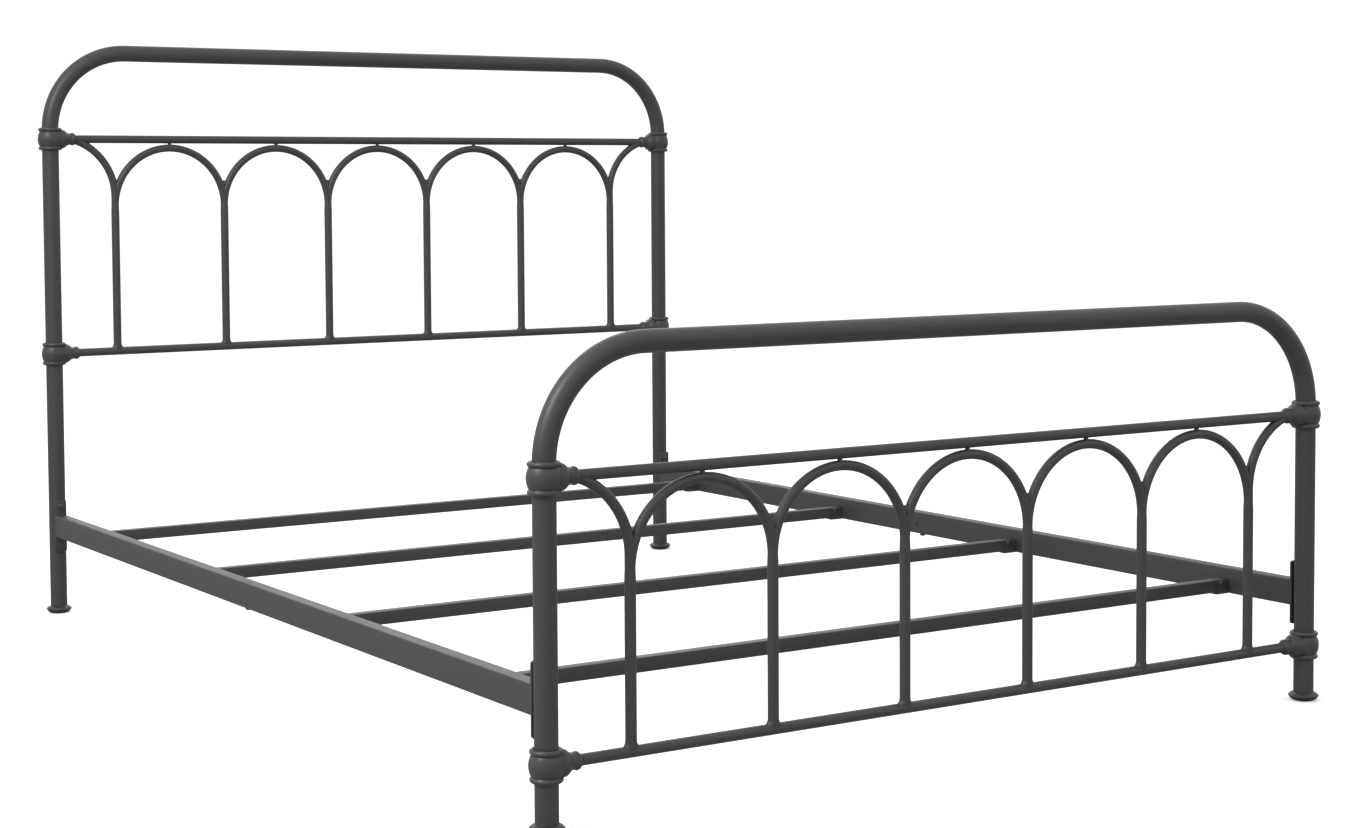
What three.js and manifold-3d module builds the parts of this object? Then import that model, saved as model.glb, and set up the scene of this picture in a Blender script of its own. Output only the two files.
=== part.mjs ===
// A double metal bed frame: an arched headboard and footboard of bent tube and rod, joined by two
// side rails that carry four cross slats. Millimetres, +Z up. X runs across the bed, +Y points to
// the headboard, and the origin is on the floor under the middle of the bed.

import * as THREE from 'three';
import { mergeVertices } from 'three/addons/utils/BufferGeometryUtils.js';
import Module from 'manifold-3d';

const wasm = await Module();
wasm.setup();

// Overall sizes
const postSpacing = 1540;
const boardSpacing = 2104;
const headTopHeight = 1204;
const headUpperRailHeight = 1018;
const headLowerRailHeight = 558.5;
const footTopHeight = 692;
const footUpperRailHeight = 506;
const footLowerRailHeight = 98.6;
const clearance = 0.3;

// Bent outer tube
const postDiameter = 35;
const tubeWall = 1.5;
const bowBendRadius = 168;
const railEndSetback = 10;

// Thin bars and arches
const barDiameter = 17.2;
const archRodDiameter = 16;
const spindleCount = 6;
const spindlePitch = 251.6;
const crownDrop = 18.3;
const stubDiameter = 10;
const endArchRise = 3;

// Cast collar
const collarHalfHeight = 24;
const collarEndRadius = 23;
const collarLipRadius = 24.5;
const collarLipInset = 2.5;
const collarGrooveRadius = 23.2;
const collarGrooveInset = 5.5;
const collarBulgeRadius = 26;
const bossRootRadius = 20.5;
const bossRootReach = 26;
const bossBellRadius = 17;
const bossBellReach = 31.5;
const bossNeckRadius = 11.8;
const bossNeckReach = 40;
const bossRingRadius = 13.2;
const bossRingWidth = 9;
const bossRingBevel = 2;
const bossRingTaper = 5;
const bossEndWall = 2;
const bossReach = 56;

// Floor glide
const glideHeight = 14.8;
const glideBaseRadius = 17;
const glideBowlRadius = 23;
const glideBowlHeight = 3.6;
const glideRimRadius = 26.5;
const glideRimHeight = 8.5;
const glideRimThickness = 1;
const glideDomeRadius = 23.8;
const glideDomeHeight = 12.2;
const glideShoulder = 1;
const glideShankBevel = 2;
const glideShankRadius = 14.6;
const glideShankLength = 24;

// Side rails and end plates
const sideRailWidth = 25;
const sideRailDepth = 46;
const sideRailCenterHeight = 189.5;
const sideRailCornerRadius = 2.5;
const endPlateWidth = 26;
const endPlateHeight = 112;
const endPlateThickness = 4;
const endPlateCornerRadius = 5;

// Cross slats and their saddles
const slatCount = 4;
const slatPitch = 582;
const slatWidth = 20;
const slatDepth = 23;
const slatBottomHeight = 170;
const slatCornerRadius = 1.5;
const leastInsideRadius = 0.5;
const slatEndGap = 0.6;
const saddleLength = 26;
const saddlePlate = 3;
const saddleTopDrop = 2;
const saddleBottomDrop = 1;
const saddleCornerRadius = 6;

// Fasteners
const cornerBoltOffset = 41;
const cornerBoltDiameter = 8;
const cornerBoltReach = 18;
const cornerHeadRadius = 6.4;
const cornerHeadHeight = 4.8;
const centerBoltShift = 10;
const centerBoltDiameter = 6;
const centerBoltReach = 12;
const centerHeadRadius = 5.8;
const centerHeadHeight = 5.2;
const accessHoleRadius = 6.5;
const accessHoleHeight = 184.5;

// Facets of round parts
const postSides = 14;
const boreSides = 12;
const barSides = 10;
const rodSides = 8;
const bendSteps = 6;
const archSteps = 10;
const cornerSegments = 1;
const saddleSegments = 2;

const postRadius = postDiameter / 2;
const barRadius = barDiameter / 2;
const archRodRadius = archRodDiameter / 2;
const archRadius = spindlePitch / 2;
const springDrop = crownDrop + archRadius;
const sideRailBottom = sideRailCenterHeight - sideRailDepth / 2;
const sideRailInnerFace = (postSpacing - sideRailWidth) / 2;
const plateFace = boardSpacing / 2 - postRadius - clearance;
const quarterTurn = Math.PI / 2;

// A path through listed points, with one step of an extrusion for each stretch.
class StretchPath extends THREE.Curve {
  constructor(points) {
    super();
    this.points = points;
  }

  getPoint(t, target = new THREE.Vector3()) {
    const place = t * (this.points.length - 1);
    const first = Math.min(Math.floor(place), this.points.length - 2);
    return target.lerpVectors(this.points[first], this.points[first + 1], place - first);
  }

  getPointAt(u, target) {
    return this.getPoint(u, target);
  }

  getTangentAt(u, target) {
    return this.getTangent(u, target);
  }
}

// Points of a bend in the XZ plane.
function bendPoints(centerX, centerZ, radius, startAngle, endAngle, steps) {
  const points = [];
  for (let step = 0; step <= steps; step += 1) {
    const angle = startAngle + (endAngle - startAngle) * step / steps;
    points.push(new THREE.Vector3(centerX + radius * Math.cos(angle), 0, centerZ + radius * Math.sin(angle)));
  }
  return points;
}

// The outline of a round bar, hollow when it is given a wall.
function roundSection(radius, wall = 0) {
  const section = new THREE.Shape();
  section.absarc(0, 0, radius, 0, 2 * Math.PI, false);
  if (wall > 0) {
    const inside = new THREE.Path();
    inside.absarc(0, 0, radius - wall, 0, 2 * Math.PI, true);
    section.holes.push(inside);
  }
  return section;
}

// A rectangle with rounded corners about the origin.
function roundedRectangle(width, height, radius, outline = new THREE.Shape()) {
  const x = width / 2 - radius;
  const y = height / 2 - radius;
  outline.absarc(x, y, radius, 0, quarterTurn, false);
  outline.absarc(-x, y, radius, quarterTurn, 2 * quarterTurn, false);
  outline.absarc(-x, -y, radius, 2 * quarterTurn, 3 * quarterTurn, false);
  outline.absarc(x, -y, radius, 3 * quarterTurn, 4 * quarterTurn, false);
  outline.closePath();
  return outline;
}

// A hollow rectangular tube along +Z.
function rectangularTube(width, height, wall, radius, length) {
  const section = roundedRectangle(width, height, radius);
  const insideRadius = Math.max(radius - wall, leastInsideRadius);
  section.holes.push(roundedRectangle(width - 2 * wall, height - 2 * wall, insideRadius, new THREE.Path()));
  return new THREE.ExtrudeGeometry(section, { depth: length, bevelEnabled: false, curveSegments: cornerSegments });
}

// A round bar or tube along +Z from z = 0.
function straightBar(radius, wall, length, sides) {
  const section = roundSection(radius, wall);
  return new THREE.ExtrudeGeometry(section, { depth: length, bevelEnabled: false, curveSegments: sides / 2 });
}

// A round bar or tube that follows listed points.
function bentBar(radius, wall, points, sides) {
  return new THREE.ExtrudeGeometry(roundSection(radius, wall), {
    steps: points.length - 1,
    extrudePath: new StretchPath(points),
    curveSegments: sides / 2,
  });
}

// The corner radius of a faceted hole whose flats keep the clearance to a round of this radius.
function clearRadius(radius, sides) {
  return (radius + clearance) / Math.cos(Math.PI / sides);
}

// A closed geometry as a solid that can be cut and joined.
function toSolid(geometry) {
  const bare = geometry.clone();
  bare.deleteAttribute('normal');
  bare.deleteAttribute('uv');
  const merged = mergeVertices(bare);
  const mesh = new wasm.Mesh({
    numProp: 3,
    vertProperties: new Float32Array(merged.attributes.position.array),
    triVerts: new Uint32Array(merged.index.array),
  });
  return new wasm.Manifold(mesh);
}

// A cut solid back as a geometry.
function toGeometry(solid) {
  const mesh = solid.getMesh();
  const geometry = new THREE.BufferGeometry();
  geometry.setAttribute('position', new THREE.BufferAttribute(mesh.vertProperties, 3));
  geometry.setIndex(new THREE.BufferAttribute(mesh.triVerts, 1));
  geometry.computeVertexNormals();
  return geometry;
}

// A round cutter that runs along X, Y or Z through the given point.
function roundCutter(radius, length, axis, place) {
  const cutter = new THREE.CylinderGeometry(radius, radius, length, boreSides);
  if (axis === 'x') cutter.rotateZ(quarterTurn);
  if (axis === 'z') cutter.rotateX(quarterTurn);
  cutter.translate(place.x, place.y, place.z);
  return toSolid(cutter);
}

function boxSolid(width, depth, height, place) {
  const box = new THREE.BoxGeometry(width, depth, height);
  box.translate(place.x, place.y, place.z);
  return toSolid(box);
}

function at(x, y, z) {
  return new THREE.Vector3(x, y, z);
}

// One bent tube makes both posts and the top bar. Its faceted bends start where the upper collars
// end. Each post has two bolt holes on its inward side.
function bowTubeGeometry(topHeight, upperRailHeight, inward) {
  const reach = postSpacing / 2;
  const bendX = reach - bowBendRadius;
  const bendZ = topHeight - bowBendRadius;
  const bendStart = Math.asin((upperRailHeight + collarHalfHeight + clearance - bendZ) / bowBendRadius);
  const footZ = glideHeight + clearance;
  const points = [
    at(-reach, 0, footZ),
    ...bendPoints(-bendX, bendZ, bowBendRadius, Math.PI - bendStart, quarterTurn, bendSteps),
    ...bendPoints(bendX, bendZ, bowBendRadius, quarterTurn, bendStart, bendSteps),
    at(reach, 0, footZ),
  ];
  let tube = toSolid(bentBar(postRadius, tubeWall, points, postSides));
  const holeRadius = clearRadius(cornerBoltDiameter / 2, boreSides);
  for (const side of [-1, 1]) {
    for (const level of [-1, 1]) {
      const height = sideRailCenterHeight + level * cornerBoltOffset;
      const middle = at(side * reach, inward * postRadius, height);
      tube = tube.subtract(roundCutter(holeRadius, postRadius, 'y', middle));
    }
  }
  return toGeometry(tube);
}

// A cast collar: a barrel with a lip at each end, and a bell-shaped boss along +X that ends in a ring.
function collarGeometry() {
  const barrelProfile = [
    new THREE.Vector2(0, -collarHalfHeight),
    new THREE.Vector2(collarEndRadius, -collarHalfHeight),
    new THREE.Vector2(collarLipRadius, -collarHalfHeight + collarLipInset),
    new THREE.Vector2(collarGrooveRadius, -collarHalfHeight + collarGrooveInset),
    new THREE.Vector2(collarBulgeRadius, 0),
    new THREE.Vector2(collarGrooveRadius, collarHalfHeight - collarGrooveInset),
    new THREE.Vector2(collarLipRadius, collarHalfHeight - collarLipInset),
    new THREE.Vector2(collarEndRadius, collarHalfHeight),
    new THREE.Vector2(0, collarHalfHeight),
  ];
  const bossProfile = [
    new THREE.Vector2(0, postRadius),
    new THREE.Vector2(bossRootRadius, postRadius),
    new THREE.Vector2(bossRootRadius, bossRootReach),
    new THREE.Vector2(bossBellRadius, bossBellReach),
    new THREE.Vector2(bossNeckRadius, bossNeckReach),
    new THREE.Vector2(bossNeckRadius, bossReach - bossRingWidth - bossRingBevel),
    new THREE.Vector2(bossRingRadius, bossReach - bossRingWidth),
    new THREE.Vector2(bossRingRadius, bossReach - bossRingTaper),
    new THREE.Vector2(barRadius + bossEndWall, bossReach),
    new THREE.Vector2(0, bossReach),
  ];
  const barrel = new THREE.LatheGeometry(barrelProfile, boreSides);
  barrel.rotateX(quarterTurn);
  const boss = new THREE.LatheGeometry(bossProfile, barSides);
  boss.rotateZ(-quarterTurn);
  const postBore = roundCutter(clearRadius(postRadius, boreSides), 3 * collarHalfHeight, 'z', at(0, 0, 0));
  const socketRadius = clearRadius(barRadius, boreSides);
  const socket = roundCutter(socketRadius, bossReach, 'x', at(bossReach / 2 + postRadius, 0, 0));
  return toGeometry(toSolid(barrel).add(toSolid(boss)).subtract(postBore).subtract(socket));
}

// A thin rail along X, whose open ends sit in the two collar sockets.
function railGeometry() {
  const length = postSpacing - 2 * (postRadius + railEndSetback);
  const rail = straightBar(barRadius, tubeWall, length, barSides);
  rail.rotateY(quarterTurn);
  rail.translate(-length / 2, 0, 0);
  return rail;
}

// A spindle that stands on the lower rail, which its foot is cut to fit. Its top is at z = 0.
function spindleGeometry(railToTop) {
  const spindle = straightBar(barRadius, tubeWall, railToTop - clearance, barSides);
  spindle.translate(0, 0, -railToTop);
  const seat = roundCutter(clearRadius(barRadius, boreSides), 3 * barDiameter, 'x', at(0, 0, -railToTop));
  return toGeometry(toSolid(spindle).subtract(seat));
}

// A full arch with its springing line at z = 0. A stub on its crown meets the rail above, and each
// leg is parted from the next arch down the middle of the spindle.
function archGeometry() {
  const points = [
    at(archRadius, 0, -archRodRadius),
    ...bendPoints(0, 0, archRadius, 0, Math.PI, archSteps),
    at(-archRadius, 0, -archRodRadius),
  ];
  const rod = toSolid(bentBar(archRodRadius, 0, points, rodSides));
  const stub = straightBar(stubDiameter / 2, 0, crownDrop, rodSides);
  stub.translate(0, 0, archRadius);
  const bayHeight = 2 * archRadius;
  const bay = boxSolid(spindlePitch - clearance, 4 * archRodDiameter, bayHeight, at(0, 0, bayHeight / 2));
  const rail = roundCutter(clearRadius(barRadius, boreSides), spindlePitch, 'x', at(0, 0, springDrop));
  return toGeometry(rod.add(toSolid(stub)).subtract(rail).intersect(bay));
}

// The quarter turn beside a post. It rises from an end spindle at x = 0 towards the given side and
// runs into the rail beside the collar's ring.
function endArchGeometry(side) {
  const lift = crownDrop + endArchRise;
  const bendCenterX = side * archRadius;
  const startAngle = side < 0 ? 0 : Math.PI;
  const points = [
    at(0, 0, 0),
    ...bendPoints(bendCenterX, lift, archRadius, startAngle, quarterTurn, bendSteps),
  ];
  const rod = toSolid(bentBar(archRodRadius, 0, points, rodSides));
  const postDistance = (postSpacing - (spindleCount - 1) * spindlePitch) / 2;
  const bayWidth = postDistance - bossReach - 2 * clearance;
  const middle = side * (bayWidth + clearance) / 2;
  const bay = boxSolid(bayWidth, 4 * archRodDiameter, 4 * archRadius, at(middle, 0, 0));
  const rail = roundCutter(clearRadius(barRadius, boreSides), 4 * archRadius, 'x', at(0, 0, springDrop));
  const above = boxSolid(4 * archRadius, 4 * archRodDiameter, archRadius, at(0, 0, springDrop + archRadius / 2));
  return toGeometry(rod.intersect(bay).subtract(rail).subtract(above));
}

// A turned glide with a sharp rim and a shank that plugs the tube above it.
function glideGeometry() {
  const shankTop = glideHeight + glideShankLength;
  const profile = [
    new THREE.Vector2(0, 0),
    new THREE.Vector2(glideBaseRadius, 0),
    new THREE.Vector2(glideBowlRadius, glideBowlHeight),
    new THREE.Vector2(glideRimRadius, glideRimHeight - glideRimThickness / 2),
    new THREE.Vector2(glideRimRadius, glideRimHeight + glideRimThickness / 2),
    new THREE.Vector2(glideDomeRadius, glideDomeHeight),
    new THREE.Vector2(postRadius + glideShoulder, glideHeight),
    new THREE.Vector2(glideShankRadius, glideHeight),
    new THREE.Vector2(glideShankRadius, shankTop - glideShankBevel),
    new THREE.Vector2(glideShankRadius - glideShankBevel, shankTop),
    new THREE.Vector2(0, shankTop),
  ];
  const glide = new THREE.LatheGeometry(profile, boreSides);
  glide.rotateX(quarterTurn);
  return glide;
}

function slatPosition(number) {
  return ((slatCount + 1) / 2 - number) * slatPitch;
}

// A flat plate across the end of a side rail, with its two bolt holes.
function endPlateSolid(end) {
  const outline = roundedRectangle(endPlateWidth, endPlateHeight, endPlateCornerRadius);
  const options = { depth: endPlateThickness, bevelEnabled: false, curveSegments: cornerSegments };
  const plate = new THREE.ExtrudeGeometry(outline, options);
  plate.rotateX(quarterTurn);
  plate.translate(0, end > 0 ? plateFace : -plateFace + endPlateThickness, 0);
  let solid = toSolid(plate);
  const holeRadius = clearRadius(cornerBoltDiameter / 2, boreSides);
  for (const level of [-1, 1]) {
    const middle = at(0, end * plateFace, level * cornerBoltOffset);
    solid = solid.subtract(roundCutter(holeRadius, 4 * endPlateThickness, 'y', middle));
  }
  return solid;
}

// An upright channel that holds one slat end. It reaches inwards from x = 0, and z = 0 is the
// slat's underside.
function saddleSolid(inward) {
  const innerHalf = slatWidth / 2 + clearance;
  const outerHalf = innerHalf + saddlePlate;
  const top = slatDepth - saddleTopDrop;
  const bottom = -clearance - saddlePlate - saddleBottomDrop;
  const corner = bottom + saddleCornerRadius;
  const outline = new THREE.Shape();
  outline.moveTo(-outerHalf, top);
  outline.absarc(-outerHalf + saddleCornerRadius, corner, saddleCornerRadius, Math.PI, 1.5 * Math.PI, false);
  outline.absarc(outerHalf - saddleCornerRadius, corner, saddleCornerRadius, 1.5 * Math.PI, 2 * Math.PI, false);
  outline.lineTo(outerHalf, top);
  outline.lineTo(innerHalf, top);
  outline.lineTo(innerHalf, -clearance);
  outline.lineTo(-innerHalf, -clearance);
  outline.lineTo(-innerHalf, top);
  outline.closePath();
  const overlap = tubeWall / 2;
  const options = { depth: saddleLength + overlap, bevelEnabled: false, curveSegments: saddleSegments };
  const saddle = new THREE.ExtrudeGeometry(outline, options);
  saddle.rotateX(quarterTurn);
  saddle.rotateZ(inward * quarterTurn);
  saddle.translate(-inward * overlap, 0, 0);
  return toSolid(saddle);
}

// A side rail with its end plates and slat saddles welded on. The inner wall has a round access
// hole in mid length, over the small bolt in the rail's underside.
function sideRailGeometry(inward) {
  const length = 2 * (plateFace - endPlateThickness / 2);
  const tube = rectangularTube(sideRailWidth, sideRailDepth, tubeWall, sideRailCornerRadius, length);
  tube.rotateX(quarterTurn);
  tube.translate(0, length / 2, 0);
  let rail = toSolid(tube);
  for (const end of [-1, 1]) {
    rail = rail.add(endPlateSolid(end));
  }
  for (let number = 1; number <= slatCount; number += 1) {
    const drop = slatBottomHeight - sideRailCenterHeight;
    rail = rail.add(saddleSolid(inward).translate([inward * sideRailWidth / 2, slatPosition(number), drop]));
  }
  const access = at(inward * sideRailWidth / 2, centerBoltShift, accessHoleHeight - sideRailCenterHeight);
  rail = rail.subtract(roundCutter(accessHoleRadius, sideRailWidth / 2, 'x', access));
  const boltHole = at(0, centerBoltShift, -sideRailDepth / 2);
  const boltHoleRadius = clearRadius(centerBoltDiameter / 2, boreSides);
  rail = rail.subtract(roundCutter(boltHoleRadius, 4 * tubeWall, 'z', boltHole));
  return toGeometry(rail);
}

// A rectangular slat along X between the two side rails.
function slatGeometry() {
  const length = 2 * (sideRailInnerFace - slatEndGap);
  const slat = rectangularTube(slatDepth, slatWidth, tubeWall, slatCornerRadius, length);
  slat.rotateY(quarterTurn);
  slat.translate(-length / 2, 0, slatDepth / 2);
  return slat;
}

// A six-sided bolt head on a round shank. The head's seat is at y = 0 and the shank points along +Y.
function boltGeometry(headRadius, headHeight, diameter, reach) {
  const head = new THREE.CylinderGeometry(headRadius, headRadius, headHeight, 6);
  head.translate(0, -headHeight / 2, 0);
  const overlap = headHeight / 2;
  const shank = new THREE.CylinderGeometry(diameter / 2, diameter / 2, reach + overlap, rodSides);
  shank.translate(0, (reach - overlap) / 2, 0);
  return toGeometry(toSolid(head).add(toSolid(shank)));
}

const powderCoat = { color: 0x47474b, roughness: 0.55, metalness: 0.25 };
const castCoat = { color: 0x454549, roughness: 0.6, metalness: 0.25 };
const boltFinish = { color: 0x3c3c40, roughness: 0.45, metalness: 0.6 };
const glideFinish = { color: 0x3f3f43, roughness: 0.6, metalness: 0.1 };

const bed = new THREE.Group();

function place(group, name, geometry, finish, position) {
  const mesh = new THREE.Mesh(geometry, new THREE.MeshStandardMaterial(finish));
  mesh.name = name;
  mesh.position.copy(position);
  group.add(mesh);
  return mesh;
}

const collar = collarGeometry();
const rail = railGeometry();
const arch = archGeometry();
const glide = glideGeometry();
const cornerBolt = boltGeometry(cornerHeadRadius, cornerHeadHeight, cornerBoltDiameter, cornerBoltReach);

// One board stands in the XZ plane of its own group. The inward side is the one that faces the bed.
function addBoard(name, y, inward, topHeight, upperRailHeight, lowerRailHeight) {
  const board = new THREE.Group();
  board.position.set(0, y, 0);
  bed.add(board);
  const bowTube = bowTubeGeometry(topHeight, upperRailHeight, inward);
  place(board, `${name}_bow_tube`, bowTube, powderCoat, at(0, 0, 0));
  place(board, `${name}_upper_rail`, rail, powderCoat, at(0, 0, upperRailHeight));
  place(board, `${name}_lower_rail`, rail, powderCoat, at(0, 0, lowerRailHeight));

  const springHeight = upperRailHeight - springDrop;
  const spindle = spindleGeometry(springHeight - lowerRailHeight);
  const firstSpindle = -(spindleCount - 1) / 2 * spindlePitch;
  for (let number = 1; number <= spindleCount; number += 1) {
    const x = firstSpindle + (number - 1) * spindlePitch;
    place(board, `${name}_spindle_${number}`, spindle, powderCoat, at(x, 0, springHeight));
  }
  for (let number = 1; number < spindleCount; number += 1) {
    const x = firstSpindle + (number - 0.5) * spindlePitch;
    place(board, `${name}_arch_${number}`, arch, powderCoat, at(x, 0, springHeight));
  }

  for (const [sideName, side] of [['left', -1], ['right', 1]]) {
    const x = side * postSpacing / 2;
    const turn = side < 0 ? 0 : Math.PI;
    const upper = place(board, `${name}_upper_collar_${sideName}`, collar, castCoat, at(x, 0, upperRailHeight));
    upper.rotation.z = turn;
    const lower = place(board, `${name}_lower_collar_${sideName}`, collar, castCoat, at(x, 0, lowerRailHeight));
    lower.rotation.z = turn;
    place(board, `${name}_glide_${sideName}`, glide, glideFinish, at(x, 0, 0));
    const endPlace = at(-side * firstSpindle, 0, springHeight);
    place(board, `${name}_end_arch_${sideName}`, endArchGeometry(side), powderCoat, endPlace);
    for (const [levelName, level] of [['upper', 1], ['lower', -1]]) {
      const headSeat = inward * (postRadius + 2 * clearance + endPlateThickness);
      const seat = at(x, headSeat, sideRailCenterHeight + level * cornerBoltOffset);
      const bolt = place(board, `${name}_corner_bolt_${sideName}_${levelName}`, cornerBolt, boltFinish, seat);
      bolt.rotation.z = inward < 0 ? 0 : Math.PI;
    }
  }
}

addBoard('headboard', boardSpacing / 2, -1, headTopHeight, headUpperRailHeight, headLowerRailHeight);
addBoard('footboard', -boardSpacing / 2, 1, footTopHeight, footUpperRailHeight, footLowerRailHeight);

const centerBolt = boltGeometry(centerHeadRadius, centerHeadHeight, centerBoltDiameter, centerBoltReach);
for (const [sideName, side] of [['left', -1], ['right', 1]]) {
  const x = side * postSpacing / 2;
  place(bed, `side_rail_${sideName}`, sideRailGeometry(-side), powderCoat, at(x, 0, sideRailCenterHeight));
  const boltSeat = at(x, centerBoltShift, sideRailBottom - clearance);
  const bolt = place(bed, `center_bolt_${sideName}`, centerBolt, boltFinish, boltSeat);
  bolt.rotation.x = quarterTurn;
}

const slat = slatGeometry();
for (let number = 1; number <= slatCount; number += 1) {
  place(bed, `cross_slat_${number}`, slat, powderCoat, at(0, slatPosition(number), slatBottomHeight));
}

export default bed;
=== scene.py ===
import math

import bmesh
import bpy
from mathutils import Matrix, Vector


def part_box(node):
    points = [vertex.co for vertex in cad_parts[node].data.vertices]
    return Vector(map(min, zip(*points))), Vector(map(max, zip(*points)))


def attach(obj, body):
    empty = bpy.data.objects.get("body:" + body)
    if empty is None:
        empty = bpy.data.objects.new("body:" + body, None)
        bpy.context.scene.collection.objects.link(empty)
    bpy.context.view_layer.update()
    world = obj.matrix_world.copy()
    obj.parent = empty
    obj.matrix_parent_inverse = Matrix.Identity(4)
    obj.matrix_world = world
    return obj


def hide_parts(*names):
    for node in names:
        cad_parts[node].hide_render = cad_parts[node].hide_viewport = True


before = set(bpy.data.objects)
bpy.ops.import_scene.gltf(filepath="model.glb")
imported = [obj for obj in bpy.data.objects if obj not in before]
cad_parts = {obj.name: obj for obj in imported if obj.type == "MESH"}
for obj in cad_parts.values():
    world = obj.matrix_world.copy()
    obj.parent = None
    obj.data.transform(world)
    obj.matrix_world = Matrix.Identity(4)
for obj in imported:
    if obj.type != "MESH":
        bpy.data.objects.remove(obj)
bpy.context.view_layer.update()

# Metal bed frame, metres, +Z up, +Y towards the headboard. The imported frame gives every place.

boards = ("headboard", "footboard")
sides = ("left", "right")
levels = ("upper", "lower")
spindleNumbers = range(1, 7)
archNumbers = range(1, 6)
slatNumbers = range(1, 5)
alongX = Matrix.Rotation(math.radians(90), 4, "Y")
alongY = Matrix.Rotation(math.radians(-90), 4, "X")
print("frame loaded:", len(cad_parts), "nodes")


# The camera stands at the foot end, to the left of the bed.
cameraSettings = {
    "place": (-2.415, -3.921, 0.9204),
    "azimuth": 33.01,  # degrees from +Y towards +X
    "pitch": 2.999,  # degrees below the horizon
    "roll": -0.317,
    "lens": 63.234,
    "shiftY": -0.0806,
}


def makeCamera():
    azimuth = math.radians(cameraSettings["azimuth"])
    pitch = math.radians(cameraSettings["pitch"])
    forward = Vector((math.sin(azimuth) * math.cos(pitch), math.cos(azimuth) * math.cos(pitch), -math.sin(pitch)))
    turn = forward.to_track_quat("-Z", "Y").to_matrix().to_4x4()
    turn = turn @ Matrix.Rotation(math.radians(cameraSettings["roll"]), 4, "Z")
    data = bpy.data.cameras.new("camera")
    data.lens = cameraSettings["lens"]
    data.shift_y = cameraSettings["shiftY"]
    data.clip_start = 0.05
    data.clip_end = 200
    camera = bpy.data.objects.new("camera", data)
    camera.matrix_world = Matrix.Translation(cameraSettings["place"]) @ turn
    bpy.context.scene.collection.objects.link(camera)
    bpy.context.scene.camera = camera


# A soft sky all round, a little stronger over the headboard, with two large softboxes.
lightSettings = {
    "skyColor": (1.0, 1.0, 1.0),
    "skyFront": 0.74,
    "skyBack": 0.98,
    "towardsLight": (0.42, 0.66, 0.62),
    "shown": 1.15,
    "softboxes": {
        # name: place, target, width, height, watts
        "keySoftbox": ((-3.4, -1.3, 3.0), (-0.4, -0.6, 0.4), 1.3, 1.3, 95.0),
        "backSoftbox": ((1.4, 4.6, 3.2), (0.0, 0.0, 0.3), 4.0, 2.0, 50.0),
    },
}


def makeLights():
    world = bpy.data.worlds.new("studio")
    world.use_nodes = True
    tree = world.node_tree
    tree.nodes.clear()
    place = tree.nodes.new("ShaderNodeTexCoord")
    facing = tree.nodes.new("ShaderNodeVectorMath")
    facing.operation = "DOT_PRODUCT"
    facing.inputs[1].default_value = Vector(lightSettings["towardsLight"]).normalized()
    spread = tree.nodes.new("ShaderNodeMapRange")
    spread.inputs["From Min"].default_value = -1.0
    spread.inputs["To Min"].default_value = lightSettings["skyFront"]
    spread.inputs["To Max"].default_value = lightSettings["skyBack"]
    glow = tree.nodes.new("ShaderNodeBackground")
    glow.inputs["Color"].default_value = (*lightSettings["skyColor"], 1)
    plain = tree.nodes.new("ShaderNodeBackground")
    plain.inputs["Color"].default_value = (*lightSettings["skyColor"], 1)
    plain.inputs["Strength"].default_value = lightSettings["shown"]
    path = tree.nodes.new("ShaderNodeLightPath")
    mix = tree.nodes.new("ShaderNodeMixShader")
    output = tree.nodes.new("ShaderNodeOutputWorld")
    tree.links.new(place.outputs["Generated"], facing.inputs[0])
    tree.links.new(facing.outputs["Value"], spread.inputs["Value"])
    tree.links.new(spread.outputs["Result"], glow.inputs["Strength"])
    tree.links.new(path.outputs["Is Camera Ray"], mix.inputs["Fac"])
    tree.links.new(glow.outputs["Background"], mix.inputs[1])
    tree.links.new(plain.outputs["Background"], mix.inputs[2])
    tree.links.new(mix.outputs["Shader"], output.inputs["Surface"])
    bpy.context.scene.world = world
    bpy.context.scene.view_settings.view_transform = "Standard"
    for name, (spot, target, width, height, watts) in lightSettings["softboxes"].items():
        data = bpy.data.lights.new(name, "AREA")
        data.shape = "RECTANGLE"
        data.size = width
        data.size_y = height
        data.energy = watts
        light = bpy.data.objects.new(name, data)
        aim = (Vector(target) - Vector(spot)).to_track_quat("-Z", "Y")
        light.matrix_world = Matrix.Translation(spot) @ aim.to_matrix().to_4x4()
        bpy.context.scene.collection.objects.link(light)


floorSettings = {"reach": 60.0, "color": (0.9, 0.9, 0.9), "bounce": (0.34, 0.34, 0.34), "roughness": 0.9, "glow": 0.3}


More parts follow.
